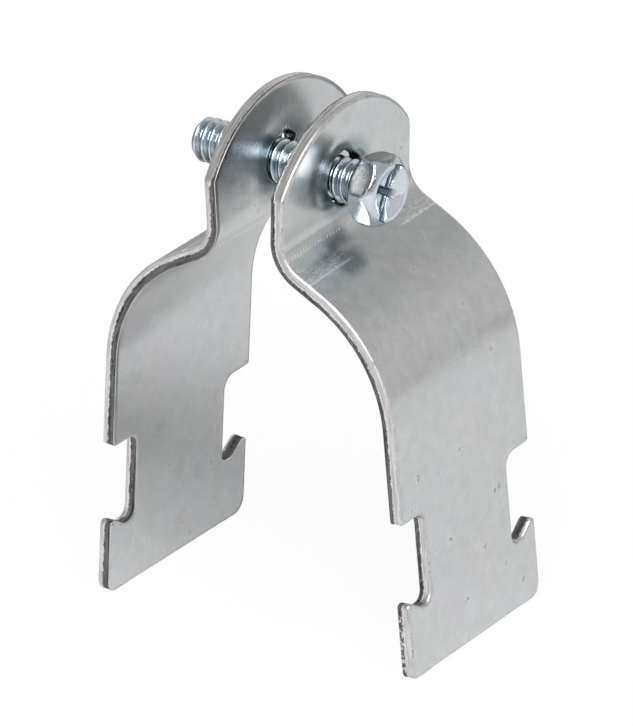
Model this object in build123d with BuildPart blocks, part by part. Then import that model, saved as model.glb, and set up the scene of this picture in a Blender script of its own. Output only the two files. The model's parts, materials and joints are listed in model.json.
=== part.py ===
from build123d import *
import math
import os

os.makedirs("parts", exist_ok=True)

# Strut clamp for pipe: two bent strap halves and the screw that draws them together.
# X runs along the screw towards its head, Y along the pipe, Z up.
# The clamp stands splayed on its feet, as it does when nothing holds it.
# Millimetres throughout.

# Strap
strap_width = 31.75
sheet = 1.9
half_width = strap_width / 2

# Ear, measured from the centre of its screw hole
ear_side_top = 2.9
ear_rise = 8.4
ear_flat_below = 3.35

# Shoulder: reverse bend, short flat, pipe seat in two blending radii, leg
reverse_radius = 4.5
shoulder_turn = 63.6
shoulder_flat = 4.1
seat_radius = 19.55
seat_blend_turn = 28.1
lower_seat_radius = 20.9
leg_lean = 6.15

# Side notches that hook under the lips of the channel, and the foot with its horns below them
neck_half_width = 10.25
notch_top = -39.8
notch_height = 12.85
foot_height = 9.55
notch_corner = 0.5
notch_fillet = 2.0
front_floor_fillet = 1.5
back_floor_fillet = 0.9
horn_tip = 1.0
horn_run = 2.4
front_horn_rise = 1.35
back_horn_rise = 1.75
horn_fillet = 1.0
horn_round = 0.7
near_front_corner = 1.0
far_front_corner = 1.7
back_corner = 2.2

# Screw
screw_radius = 3.12
screw_length = 27.1
tip_chamfer = 0.7
head_flats = 9.3
head_height = 4.1
head_turn = 52.0
head_front_radius = 4.25
head_chamfer = 0.75
head_back_radius = 4.75
head_back_chamfer = 0.45
dent_radius = 3.5
dent_depth = 0.45
slot_width = 1.5
slot_depth = 1.5
slot_turn = 60.0
cross_span = 4.6
cross_width = 1.1
cross_tip = 0.5
cross_depth = 2.4

# Pressed screw hole: a shallow dish with one turn of thread in its lip
hole_clearance = 0.48
relief_depth = 0.35
relief_start = 31.0
relief_end = 83.0
worn_depth = 0.2
worn_start = 142.0
worn_end = 235.0
dish_radius = 9.3
dish_rim = 0.6
dish_depth = 0.45
lip_radius = 7.2
thread_pitch = 1.27
press_overlap = 0.1
press_inset = 0.01
press_reach = 10.5
press_points = 33

# How the loose clamp stands
ear_gap = 8.4
head_stand_off = 3.2
near_lean = 1.35
near_yaw = 3.25
far_lean = 2.9
far_yaw = 1.1
far_roll = 0.3
far_lift = 0.12

# How far cuts and blanks run past what they shape
trim = 1.0
press_room = 4.0

notch_floor = notch_top - notch_height
foot_bottom = notch_floor - foot_height
horn_end = half_width - horn_tip
horn_start = horn_end - horn_run
floor_width = horn_start - neck_half_width
blank_depth = 2 * (seat_radius + lower_seat_radius)
hole_radius = screw_radius + hole_clearance
screw_shoulder = ear_gap / 2 + sheet + head_stand_off


def strap_face_line(depth):
    """One face of the bent strap from ear to foot; depth is 0 for the inner face, sheet for the outer."""
    start = (depth, ear_side_top + ear_rise + trim)
    ear = Line(start, (depth, -ear_flat_below))
    bend = JernArc(ear @ 1, ear % 1, reverse_radius + sheet - depth, shoulder_turn)
    flat = Line(bend @ 1, bend @ 1 + (bend % 1) * shoulder_flat)
    seat = JernArc(flat @ 1, flat % 1, seat_radius + depth, seat_blend_turn - shoulder_turn)
    blend = JernArc(seat @ 1, seat % 1, lower_seat_radius + depth, leg_lean - seat_blend_turn)
    drop = (blend @ 1).Y - foot_bottom + trim
    leg = Line(blend @ 1, blend @ 1 + (blend % 1) * (drop / math.cos(math.radians(leg_lean))))
    return ear @ 0, leg @ 1


def strap_profile(side):
    """Edge view of one half in the X-Z plane; side is +1 for the half at the screw head."""
    with BuildSketch(Plane.XZ) as profile:
        with BuildLine():
            inner_top, inner_foot = strap_face_line(0)
            outer_top, outer_foot = strap_face_line(sheet)
            Line(inner_top, outer_top)
            Line(inner_foot, outer_foot)
        make_face()
        if side < 0:
            mirror(about=Plane.YZ, mode=Mode.REPLACE)
    return profile


def foot_side(horn_rise, floor_fillet, foot_corner):
    """One side of the foot, from the notch down: distance from the middle, height and radius."""
    horn_top = notch_floor + horn_rise
    tip_round = min(horn_round, 0.7 * horn_tip)
    return [
        (half_width, notch_top, notch_corner),
        (neck_half_width, notch_top, notch_fillet),
        (neck_half_width, notch_floor, min(floor_fillet, 0.75 * floor_width)),
        (horn_start, notch_floor, min(horn_fillet, 0.6 * floor_width)),
        (horn_end, horn_top, tip_round),
        (half_width, horn_top, tip_round),
        (half_width, foot_bottom, foot_corner),
    ]


def strap_outline(front_corner):
    """Front view of a half in the Y-Z plane: domed ear, straight sides and hooked foot."""
    top = ear_side_top + ear_rise
    back = foot_side(back_horn_rise, back_floor_fillet, back_corner)
    front = foot_side(front_horn_rise, front_floor_fillet, front_corner)
    corners = back + [(-y, z, radius) for y, z, radius in reversed(front)]
    with BuildSketch(Plane.YZ) as outline:
        with BuildLine():
            ear = ThreePointArc((-half_width, ear_side_top), (0, top), (half_width, ear_side_top))
            Polyline(ear @ 1, *[(y, z) for y, z, radius in corners], ear @ 0)
        make_face()
        for y, z, radius in corners:
            fillet(outline.vertices().sort_by_distance((y, z))[0], radius)
    return outline


def ease(share):
    """Smooth step from 1 at share 0 to 0 at share 1."""
    share = min(max(share, 0.0), 1.0)
    return 0.5 * (1 + math.cos(math.pi * share))


def press_depth(y, z):
    """Sideways push of the sheet at a point of the ear: the dish plus one rising turn of thread."""
    radius = math.hypot(y, z)
    angle = math.degrees(math.atan2(z, y)) % 360
    dish = -dish_depth * ease((radius - hole_radius) / (dish_radius - dish_rim - hole_radius))
    climb_span = 360 - (relief_end - relief_start)
    if relief_start < angle < relief_end:
        turn_share = 0.5 - ease((relief_end - angle) / (relief_end - relief_start))
    else:
        turn_share = ((angle - relief_end) % 360) / climb_span - 0.5
    lip = thread_pitch * turn_share * ease((radius - hole_radius) / (lip_radius - hole_radius))
    fade = 1 - ease((z + ear_flat_below) / ear_flat_below)
    return (dish + lip) * fade


def pressed_face(x):
    """The pressed surface of the ear whose flat lies at x, as one smooth face."""
    rows = []
    for i in range(press_points):
        y = press_reach * (2 * i / (press_points - 1) - 1)
        row = []
        for j in range(press_points):
            z = press_reach * (2 * j / (press_points - 1) - 1)
            row.append(Vector(x + press_depth(y, z), y, z))
        rows.append(row)
    return Face.make_surface_from_array_of_points(rows)


def press_zone(radius, below):
    """The round of the ear that the press shapes, cut off above the reverse bend."""
    with BuildSketch(Plane.YZ) as zone:
        Circle(radius)
        with Locations((0, -below - radius)):
            Rectangle(2 * (radius + trim), 2 * radius, mode=Mode.SUBTRACT)
    return zone


def pressed_plate(x_low, x_high):
    """The pressed round of the ear between two copies of the pressed surface."""
    zone = press_zone(dish_radius + press_overlap, ear_flat_below).sketch
    with BuildPart() as plate:
        extrude(zone, amount=press_room, both=True)
        high_face = pressed_face(x_high - press_inset)
        low_face = pressed_face(x_low + press_inset)
        add(extrude(high_face, amount=2 * press_room, dir=(1, 0, 0), mode=Mode.PRIVATE), mode=Mode.SUBTRACT)
        add(extrude(low_face, amount=2 * press_room, dir=(-1, 0, 0), mode=Mode.PRIVATE), mode=Mode.SUBTRACT)
    return plate


def hole_outline(side):
    """Screw hole with its relief notch; the tip side half is also open on the left."""
    sectors = [(hole_radius + relief_depth, relief_start, relief_end)]
    if side < 0:
        sectors.append((hole_radius + worn_depth, worn_start, worn_end))
    with BuildSketch(Plane.YZ) as hole:
        Circle(hole_radius)
        for radius, start, end in sectors:
            with BuildLine():
                arc = CenterArc((0, 0), radius, start, end - start)
                Line((0, 0), arc @ 0)
                Line((0, 0), arc @ 1)
            make_face()
    return hole


def clamp_half(side, front_corner):
    """One bent half with its ear flat at x = 0 and the centre of its hole at the origin."""
    x_low = 0 if side > 0 else -sheet
    profile = strap_profile(side).sketch
    outline = strap_outline(front_corner).sketch
    zone = press_zone(dish_radius, ear_flat_below - press_overlap).sketch
    plate = pressed_plate(x_low, x_low + sheet).part
    hole = hole_outline(side).sketch
    with BuildPart() as half:
        extrude(profile, amount=half_width, both=True)
        extrude(outline, amount=blank_depth, both=True, mode=Mode.INTERSECT)
        extrude(zone, amount=press_room, both=True, mode=Mode.SUBTRACT)
        add(plate)
        extrude(hole, amount=press_room, both=True, mode=Mode.SUBTRACT)
    return half


def machine_screw():
    """Screw along X with its head seat at x = 0: plain shank, indented hexagon head, combined recess."""
    with BuildPart() as body:
        with BuildSketch(Plane.XZ):
            with BuildLine():
                Polyline(
                    (head_height / 2, 0),
                    (-screw_length, 0),
                    (-screw_length, screw_radius - tip_chamfer),
                    (-screw_length + tip_chamfer, screw_radius),
                    (head_height / 2, screw_radius),
                    close=True,
                )
            make_face()
        revolve(axis=Axis.X)
        with BuildSketch(Plane.YZ):
            RegularPolygon(head_flats / 2, 6, major_radius=False, rotation=head_turn)
        extrude(amount=head_height)
        with BuildSketch(Plane.XZ):
            with BuildLine():
                Polyline(
                    (-screw_length - trim, 0),
                    (-screw_length - trim, screw_radius + trim),
                    (0, screw_radius + trim),
                    (0, head_back_radius),
                    (head_back_chamfer, head_flats),
                    (head_height - head_chamfer, head_flats),
                    (head_height - head_chamfer, head_front_radius + 2 * head_chamfer),
                    (head_height, head_front_radius),
                    (head_height, 0),
                    close=True,
                )
            make_face()
        revolve(axis=Axis.X, mode=Mode.INTERSECT)
        front = Plane(origin=(head_height, 0, 0), x_dir=(0, 1, 0), z_dir=(1, 0, 0))
        with BuildSketch(front):
            Circle(dent_radius)
        extrude(amount=-dent_depth, taper=35, mode=Mode.SUBTRACT)
        with BuildSketch(front):
            Rectangle(4 * dent_radius, slot_width, rotation=slot_turn)
        extrude(amount=-slot_depth, mode=Mode.SUBTRACT)
        with BuildSketch(front):
            Rectangle(cross_span, cross_width, rotation=slot_turn)
            Rectangle(cross_span, cross_width, rotation=slot_turn + 90)
        with BuildSketch(front.offset(-cross_depth)):
            Rectangle(cross_tip * 3, cross_tip, rotation=slot_turn)
            Rectangle(cross_tip * 3, cross_tip, rotation=slot_turn + 90)
        loft(mode=Mode.SUBTRACT)
    return body


def splayed(shape, x, lean, yaw, roll, lift):
    """Puts a piece at x along the screw, swung by its lean, yaw and roll about the screw hole."""
    swing = Location((0, 0, 0), (0, 0, yaw)) * Location((0, 0, 0), (0, lean, 0))
    return shape.moved(Location((x, 0, lift), (roll, 0, 0)) * swing)


def floor_level(near, far):
    """Tilt about Y, in degrees, that brings the lowest corners of both feet to one level."""
    near_low = near.vertices().sort_by(Axis.Z)[0]
    far_low = far.vertices().sort_by(Axis.Z)[0]
    return math.degrees(math.atan2(near_low.Z - far_low.Z, near_low.X - far_low.X))


def on_floor(pieces):
    """Levels the splayed pieces and moves their common box to stand centred on the origin."""
    tilt = Location((0, 0, 0), (0, floor_level(pieces[0], pieces[1]), 0))
    level = [piece.moved(tilt) for piece in pieces]
    box = Compound(children=level).bounding_box()
    middle = box.center()
    return [piece.moved(Location((-middle.X, -middle.Y, -box.min.Z))) for piece in level]


near, far, fastener = on_floor(
    [
        splayed(clamp_half(1, near_front_corner).part, ear_gap / 2, near_lean, near_yaw, 0, 0),
        splayed(clamp_half(-1, far_front_corner).part, -ear_gap / 2, -far_lean, far_yaw, far_roll, far_lift),
        splayed(machine_screw().part, screw_shoulder, 0, 0, 0, 0),
    ]
)

with BuildPart() as head_side_half:
    add(near)
head_side_half.part.label = "head_side_half"
export_step(head_side_half.part, "parts/head_side_half.step")

with BuildPart() as tip_side_half:
    add(far)
tip_side_half.part.label = "tip_side_half"
export_step(tip_side_half.part, "parts/tip_side_half.step")

with BuildPart() as screw:
    add(fastener)
screw.part.label = "screw"
export_step(screw.part, "parts/screw.step")
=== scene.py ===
import math

import bmesh
import bpy
import numpy as np
from mathutils import Matrix, Vector
from mathutils.geometry import delaunay_2d_cdt
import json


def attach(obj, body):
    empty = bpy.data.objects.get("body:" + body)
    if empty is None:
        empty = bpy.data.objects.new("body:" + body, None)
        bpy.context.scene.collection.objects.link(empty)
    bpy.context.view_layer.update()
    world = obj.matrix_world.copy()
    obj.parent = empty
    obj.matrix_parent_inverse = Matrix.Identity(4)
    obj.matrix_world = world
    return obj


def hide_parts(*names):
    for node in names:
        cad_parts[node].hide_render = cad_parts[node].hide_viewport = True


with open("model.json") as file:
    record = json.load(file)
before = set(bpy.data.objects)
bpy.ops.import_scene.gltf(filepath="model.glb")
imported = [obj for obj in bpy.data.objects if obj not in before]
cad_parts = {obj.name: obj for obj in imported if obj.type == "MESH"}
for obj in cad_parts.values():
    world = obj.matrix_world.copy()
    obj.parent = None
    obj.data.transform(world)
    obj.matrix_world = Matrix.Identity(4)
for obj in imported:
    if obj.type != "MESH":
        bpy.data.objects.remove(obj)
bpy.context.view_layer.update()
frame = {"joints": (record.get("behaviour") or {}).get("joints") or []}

# Head side half.
# One strip of zinc-coated steel, punched flat and then bent: a domed ear with a pressed screw hole,
# a reverse bend, the pipe seat in two blending radii, a straight leg and a hooked foot.
MM = 0.001
STRAP_WIDTH = 31.75
SHEET = 1.9

# Bends from the screw hole down, in millimetres and degrees.
EAR_FLAT_BELOW = 3.35
REVERSE_RADIUS = 4.5
SHOULDER_TURN = 63.6
SHOULDER_FLAT = 4.1
SEAT_RADIUS = 19.55
SEAT_BLEND_TURN = 28.1
LOWER_SEAT_RADIUS = 20.9
LEG_LEAN = 6.15
LEG_RUN = 80.0
LEG_PROBE = (60.0, 70.0)
EAR_GAP = 8.4
NEAR_LEAN = 1.35
NEAR_YAW = 3.25

# The clamp's own frame: X along the screw towards its head, origin midway between the ears.
closing, turning = frame["joints"]
drive = Vector(closing["axis"])
CLAMP_FRAME = Matrix.Rotation(math.atan2(drive.z, -drive.x), 4, "Y")
CLAMP_FRAME = Matrix.Translation(turning["pos_m"]) @ CLAMP_FRAME


def bent_strap(length, across, depth, side=1, dish=1.0, lip=1.0):
    """Carries the flat strip round its bends: length runs down from the hole's centre on the mid
    surface, across is the strip's width direction and depth goes from inner to outer face. On each
    straight the point moves along the heading, on each bend it turns about the bend's centre.
    Side is 1 for a half bent towards the screw's head and -1 for one bent the other way."""
    mid = SHEET / 2
    runs = [
        (EAR_FLAT_BELOW, 0.0, 0.0),
        (0.0, REVERSE_RADIUS, SHOULDER_TURN),
        (SHOULDER_FLAT, 0.0, 0.0),
        (0.0, SEAT_RADIUS, SEAT_BLEND_TURN - SHOULDER_TURN),
        (0.0, LOWER_SEAT_RADIUS, LEG_LEAN - SEAT_BLEND_TURN),
        (LEG_RUN, 0.0, 0.0),
    ]
    x = np.zeros_like(length)
    z = np.zeros_like(length)
    start, heading = 0.0, 0.0
    corner = np.array([mid, 0.0])
    for straight, radius, turn in runs:
        along = np.array([math.sin(heading), -math.cos(heading)])
        outward = np.array([math.cos(heading), math.sin(heading)])
        bend = math.radians(turn)
        if turn > 0:
            pivot, reach = corner + outward * (radius + mid), -(radius + mid)
        elif turn < 0:
            pivot, reach = corner - outward * (radius + mid), radius + mid
        run = straight if turn == 0 else abs(bend) * (radius + mid)
        here = (length >= start) if start > 0 else np.ones(length.shape, bool)
        part = length[here] - start
        rise = depth[here] - mid
        if turn == 0:
            x[here] = corner[0] + along[0] * part + outward[0] * rise
            z[here] = corner[1] + along[1] * part + outward[1] * rise
            corner = corner + along * run
        else:
            swung = heading + np.sign(turn) * part / (radius + mid)
            arm = reach + rise
            x[here] = pivot[0] + np.cos(swung) * arm
            z[here] = pivot[1] + np.sin(swung) * arm
            heading += bend
            corner = pivot + np.array([math.cos(heading), math.sin(heading)]) * reach
        start += run
    x = side * x + press_depth(across, z, dish, lip)
    return np.stack([x, across, z], axis=-1)


def ease(share):
    """Smooth step from 1 at share 0 to 0 at share 1, half a cosine."""
    return 0.5 * (1 + np.cos(np.pi * np.clip(share, 0, 1)))


# Pressed screw hole: its relief notch lies between two angles, counted up from the strip's width.
HOLE_RADIUS = 3.6
HOLE_EDGE = 3.5
RELIEF_EDGE = 3.85
RELIEF_START = 31.0
RELIEF_END = 83.0
RELIEF_BLEND = 7.0
DISH_RADIUS = 9.3
DISH_RIM = 0.6
DISH_DEPTH = 0.45
LIP_RADIUS = 7.2
NOTCH_SPREAD = 60.0
NOTCH_SHORTER = 2.4
THREAD_PITCH = 1.27
HOLE_SPACING = 0.2


def press_depth(across, height, dish_share, lip_share):
    """Push of the ear's sheet along X: a shallow dish away from the screw's head, plus a lip that
    climbs by one pitch in a turn and fades out at the lip's radius, sooner beside the notch. Each
    is taken by its share, and both fade out at the foot of the ear."""
    radius = np.hypot(across, height)
    angle = np.degrees(np.arctan2(height, across)) % 360
    dish = -DISH_DEPTH * ease((radius - HOLE_RADIUS) / (DISH_RADIUS - DISH_RIM - HOLE_RADIUS))
    inside = (angle > RELIEF_START) & (angle < RELIEF_END)
    back = 0.5 - ease((RELIEF_END - angle) / (RELIEF_END - RELIEF_START))
    climb = ((angle - RELIEF_END) % 360) / (360 - (RELIEF_END - RELIEF_START)) - 0.5
    lip = THREAD_PITCH * np.where(inside, back, climb)
    notch = ease(np.abs(angle - (RELIEF_START + RELIEF_END) / 2) / NOTCH_SPREAD)
    lip = lip * ease((radius - HOLE_RADIUS) / (LIP_RADIUS - NOTCH_SHORTER * notch - HOLE_RADIUS))
    fade = 1 - ease((height + EAR_FLAT_BELOW) / EAR_FLAT_BELOW)
    return (dish_share * dish + lip_share * lip) * fade


def leg_length(height):
    """Length along the strip at which the straight leg reaches a height below the hole, read off
    the line through two points of the leg."""
    first, last = LEG_PROBE
    line = bent_strap(np.array(LEG_PROBE), np.zeros(2), np.full(2, SHEET / 2))[:, 2]
    return first + (height - line[0]) * (last - first) / (line[1] - line[0])


def rounded_loop(corners, spacing, nearly_straight=1.56, arc_points=13):
    """Closed outline through (across, length, radius) corners: each corner is an arc tangent to
    both its sides, unless its half angle in radians is nearly straight, and points follow the
    whole loop at an even spacing."""
    spots = np.array([c[:2] for c in corners], float)
    path = []
    for i, (_, _, radius) in enumerate(corners):
        here = spots[i]
        back = spots[i - 1] - here
        ahead = spots[(i + 1) % len(spots)] - here
        back /= np.linalg.norm(back)
        ahead /= np.linalg.norm(ahead)
        half = math.acos(np.clip(back @ ahead, -1, 1)) / 2
        if radius == 0 or half > nearly_straight:
            path.append(here[None])
            continue
        centre = here + (back + ahead) / np.linalg.norm(back + ahead) * radius / math.sin(half)
        first = here + back * radius / math.tan(half) - centre
        last = here + ahead * radius / math.tan(half) - centre
        begin = math.atan2(first[1], first[0])
        sweep = (math.atan2(last[1], last[0]) - begin + math.pi) % (2 * math.pi) - math.pi
        turn = begin + sweep * np.linspace(0, 1, arc_points)
        path.append(centre + radius * np.stack([np.cos(turn), np.sin(turn)], -1))
    return even_loop(np.concatenate(path), spacing)


def even_loop(points, spacing):
    """The same closed polyline with points at one even spacing along it."""
    closed = np.concatenate([points, points[:1]])
    reach = np.concatenate([[0], np.cumsum(np.linalg.norm(np.diff(closed, axis=0), axis=1))])
    spots = np.linspace(0, reach[-1], max(int(reach[-1] / spacing), 8), endpoint=False)
    return np.stack([np.interp(spots, reach, closed[:, k]) for k in (0, 1)], -1)


def inward(loop):
    """Unit direction into the metal at each point of a loop that keeps the metal on its left."""
    tangent = np.roll(loop, -1, axis=0) - np.roll(loop, 1, axis=0)
    tangent /= np.linalg.norm(tangent, axis=1)[:, None]
    return np.stack([-tangent[:, 1], tangent[:, 0]], -1)


# Outline of the strip: heights from the screw hole's centre and widths from the strip's middle.
EAR_SIDE_TOP = 2.9
EAR_RISE = 8.4
EAR_POINTS = 27
EAR_CORNER_ROUND = 4.0
NECK_HALF_WIDTH = 10.25
NOTCH_TOP = -39.8
NOTCH_FLOOR = -52.65
FOOT_BOTTOM = -62.08
HORN_START = 12.475
HORN_END = 14.875
NOTCH_MOUTH_ROUND = 0.5
NOTCH_TOP_ROUND = 2.0
HORN_ROOT_ROUND = 1.0
HORN_TIP_ROUND = 1.2
HORN_SIDE_ROUND = 0.6
BACK_HORN_RISE = 1.75
BACK_FLOOR_ROUND = 0.9
BACK_FOOT_ROUND = 2.2
FRONT_HORN_RISE = 1.35
FRONT_FLOOR_ROUND = 1.5
NEAR_FRONT_ROUND = 1.0
OUTLINE_SPACING = 0.3


def foot_side(horn_rise, floor_round, foot_round):
    """Corners of one side of the foot as (across, length, radius), from the notch down."""
    heights = (NOTCH_TOP, NOTCH_FLOOR, NOTCH_FLOOR + horn_rise, FOOT_BOTTOM)
    top, floor, horn, foot = (leg_length(height) for height in heights)
    return [
        (STRAP_WIDTH / 2, top, NOTCH_MOUTH_ROUND),
        (NECK_HALF_WIDTH, top, NOTCH_TOP_ROUND),
        (NECK_HALF_WIDTH, floor, floor_round),
        (HORN_START, floor, HORN_ROOT_ROUND),
        (HORN_END, horn, HORN_TIP_ROUND),
        (STRAP_WIDTH / 2, horn, HORN_SIDE_ROUND),
        (STRAP_WIDTH / 2, foot, foot_round),
    ]


def strap_loop(front_round):
    """Outline of the punched strip: arc over the ear, straight sides, notches, horns and foot. The
    arc's radius is half its chord squared plus its rise squared, over twice the rise."""
    half = STRAP_WIDTH / 2
    over = (half**2 + EAR_RISE**2) / (2 * EAR_RISE)
    swing = math.asin(half / over)
    arc = np.linspace(-swing, swing, EAR_POINTS)
    centre = EAR_SIDE_TOP + EAR_RISE - over
    ear = [(over * math.sin(a), -(centre + over * math.cos(a)), 0.0) for a in arc]
    ear[-1] = (*ear[-1][:2], EAR_CORNER_ROUND)
    back = foot_side(BACK_HORN_RISE, BACK_FLOOR_ROUND, BACK_FOOT_ROUND)
    front = foot_side(FRONT_HORN_RISE, FRONT_FLOOR_ROUND, front_round)
    front = [(-across, length, radius) for across, length, radius in reversed(front)]
    return rounded_loop(ear + back + front, OUTLINE_SPACING)


def hole_loop(plain, deep):
    """Outline of the screw hole in the flat strip: a plain radius that eases out to the deeper one
    of the relief notch and back."""
    degrees = np.arange(0, 360, 1.5)
    angle = np.radians(degrees)
    relief = 1 - ease(np.minimum(degrees - RELIEF_START, RELIEF_END - degrees) / RELIEF_BLEND)
    radius = plain + (deep - plain) * relief
    return even_loop(np.stack([radius * np.cos(angle), -radius * np.sin(angle)], -1), HOLE_SPACING)


# Cut edge: how far it rolls over, how much of the thickness is torn, and how uneven the tear is.
# The torn section is given as inset and depth.
OUTER_ROLL = 0.55
HOLE_ROLL = 0.4
ROLL_DROP = 0.42
RIM_REACH = 0.25
TORN_SECTION = [
    (0.0, 1.2),
    (0.02, 1.05),
    (0.03, 0.75),
    (0.02, 0.4),
    (0.0, 0.16),
    (0.01, 0.06),
    (0.07, 0.0),
]
TEAR = 0.16
BURR = 0.02
FOOT_ZONE = 45.0
HORN_TORN_ABOVE = 1.5
HORN_ZONE = (HORN_START - 1.2, HORN_END + 0.4)
HORN_ROLL = 0.5
HORN_TORN = 0.75
EAR_LESS_TORN = 0.6
EAR_FADE = 4.0
NEAR_TORN = 0.38
# A hole's share above 0.86 also paints the hole's wall near black as painted shadow.
NEAR_HOLE_TORN_AND_SHADE = 1.0
NEAR_SEED = 11


def edge_wave(count, size, seed, waves_summed=40):
    """Uneven line round a loop: a sum of sines with seeded phases, whole numbers of waves each."""
    rng = np.random.default_rng(seed)
    turn = np.linspace(0, 2 * math.pi, count, endpoint=False)
    waves = rng.integers(5, count // 5, waves_summed)
    swell = rng.uniform(0.3, 1, waves_summed) / np.sqrt(waves)
    phase = rng.uniform(0, 2 * math.pi, waves_summed)
    total = (np.sin(turn[:, None] * waves + phase) * swell).sum(1)
    return size * total / np.abs(total).max()


def strap_rim(loop, roll, torn_share, seed, closed_in=0.0):
    """Cut edge carried along a loop: the outer face rolls over the edge in a quarter ellipse, a
    smooth band follows, then the torn band with its uneven start and a sharp inner edge. Closed in
    draws the edge into the hole, most at the outer face. The last result is the share of the
    thickness that is torn, more of it on the horns and less on the ear."""
    turn = np.radians(np.linspace(0, 90, 9))
    rolled = [(roll * (1 - math.sin(a)), SHEET - ROLL_DROP * (1 - math.cos(a))) for a in turn]
    section = [(roll + RIM_REACH, SHEET), *rolled, *TORN_SECTION, (roll + RIM_REACH, 0.0)]
    section = np.array(section)
    tear = edge_wave(len(loop), TEAR, seed)
    burr = edge_wave(len(loop), BURR, seed + 1) + BURR
    aside, length = np.abs(loop[:, 0]), loop[:, 1]
    horn = (aside > HORN_ZONE[0]) & (aside < HORN_ZONE[1]) & (length > FOOT_ZONE)
    offset = section[:, :1] * np.where(horn, HORN_ROLL, 1.0)
    depth = section[:, 1:] + 0 * tear
    first_torn = 1 + len(rolled)
    depth[first_torn : first_torn + 3] += tear
    offset[first_torn + 2 : first_torn + 4] += burr
    offset = offset - closed_in * (depth / SHEET)
    flat = loop + inward(loop) * offset[..., None]
    on_ear = ease((length + EAR_SIDE_TOP + EAR_FADE / 2) / EAR_FADE)
    on_ear = on_ear * (np.hypot(aside, length) > LIP_RADIUS)
    share = np.where(
        horn & (length < leg_length(NOTCH_FLOOR - HORN_TORN_ABOVE)),
        HORN_TORN,
        torn_share * (1 - EAR_LESS_TORN * on_ear),
    )
    return flat, depth, share + tear / 3 + 0 * depth


def fill_flat(loops, dots, inside_only=1, same_point=1e-7):
    """Triangles, as even as can be, that join the dots and the loops round them. The first loop is
    the outline. The results are the points, and the three corners of each triangle."""
    links, base = [], 0
    for loop in loops:
        ring = np.arange(len(loop)) + base
        links += list(zip(ring.tolist(), np.roll(ring, -1).tolist()))
        base += len(loop)
    flat = [Vector(p) for p in np.concatenate([*loops, dots]).tolist()]
    points, _, faces, *_ = delaunay_2d_cdt(flat, links, [], inside_only, same_point)
    return np.array([tuple(p) for p in points]), np.array([f for f in faces if len(f) == 3])


# Faces: even rows of points up to a margin from the edges, and millimetres to a unit of the map.
FACE_STEP = 0.55
FACE_MARGIN = 0.3
FACE_CORNER = (-15.4, -11.0)
STRIP_UNIT = 100.0


def strap_mesh(
    name, side, hole_radii, front_round, torn, hole_torn_and_shade, seed, dish=1.0, lip=1.0, narrows=0.0
):
    """One half as a closed skin: both faces filled over the same flat outline, joined by the rims
    round the outline and round the hole, and all of it carried round the bends. The hole's relief
    notch narrows towards the outer face."""
    plain, deep = hole_radii
    outer, hole = strap_loop(front_round), hole_loop(plain, deep)
    in_relief = np.clip((np.hypot(hole[:, 0], hole[:, 1]) - plain - 0.05) / (deep - plain), 0, 1)
    rims = [
        strap_rim(outer, OUTER_ROLL, torn, seed),
        strap_rim(hole, HOLE_ROLL, hole_torn_and_shade, seed + 5, narrows * in_relief),
    ]
    edges = [flat[0] for flat, _, _ in rims]
    left, top = FACE_CORNER
    across, length = np.meshgrid(
        np.arange(left, 0.1 - left, FACE_STEP),
        np.arange(top, leg_length(FOOT_BOTTOM), FACE_STEP),
    )
    across[1::2] += FACE_STEP / 2
    dots = np.stack([across.ravel(), length.ravel()], -1)
    dots = dots[inside_loop(dots, edges[0]) & ~inside_loop(dots, edges[1])]
    clear = np.minimum(loop_distance(dots, edges[0]), loop_distance(dots, edges[1]))
    skin, faces = fill_flat(edges, dots[clear > FACE_MARGIN])
    faces = faces[~inside_loop(skin[faces].mean(axis=1), edges[1])]
    points = [np.insert(skin, 2, SHEET, axis=1), np.insert(skin, 2, 0.0, axis=1)]
    corners = [faces, faces[:, ::-1] + len(skin)]
    shares = [np.zeros(2 * len(skin))]
    count = 2 * len(skin)
    for flat, depth, share in rims:
        points.append(np.column_stack([flat.reshape(-1, 2), depth.ravel()]))
        shares.append(share.ravel())
        corners.append(np.roll(grid_faces(*depth.shape, count)[:, ::-1], 1, axis=1))
        count += depth.size
    points = np.concatenate(points)
    edge = np.minimum(loop_distance(points[:, :2], outer), loop_distance(points[:, :2], hole))
    placed = bent_strap(points[:, 1], points[:, 0], points[:, 2], side, dish, lip)
    mesh = bpy.data.meshes.new(name)
    mesh.from_pydata(placed * MM, [], [f.tolist() for group in corners for f in group])
    store(mesh, "depth", points[:, 2] / SHEET)
    store(mesh, "edge", edge)
    store(mesh, "torn", np.concatenate(shares))
    pattern = mesh.uv_layers.new(name="strip")
    corner = np.empty(len(mesh.loops), np.int32)
    mesh.loops.foreach_get("vertex_index", corner)
    pattern.data.foreach_set("uv", (points[corner][:, :2] / STRIP_UNIT).ravel())
    return mesh


def grid_faces(rows, columns, base=0):
    """Quads of a grid that closes on itself along its columns."""
    index = np.arange(rows * columns).reshape(rows, columns) + base
    around = np.roll(index, -1, axis=1)
    return np.stack([index[:-1], around[:-1], around[1:], index[1:]], -1).reshape(-1, 4)


def store(mesh, name, values):
    """Keeps one value for each point of a mesh under a name that its material reads."""
    mesh.attributes.new(name, "FLOAT", "POINT").data.foreach_set("value", values.astype(np.float32))


def batches(points, size=4000):
    """Index arrays that cut a long list of points into parts that fit in memory."""
    return np.array_split(np.arange(len(points)), max(len(points) // size, 1))


def loop_distance(points, loop):
    """Distance from each point to the nearest side of a closed loop."""
    start, side = loop, np.roll(loop, -1, axis=0) - loop
    best = np.empty(len(points))
    length = (side**2).sum(1)
    for part in batches(points):
        away = points[part][:, None] - start[None]
        share = np.clip((away * side).sum(-1) / length, 0, 1)
        best[part] = np.linalg.norm(away - share[..., None] * side, axis=-1).min(axis=1)
    return best


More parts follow.
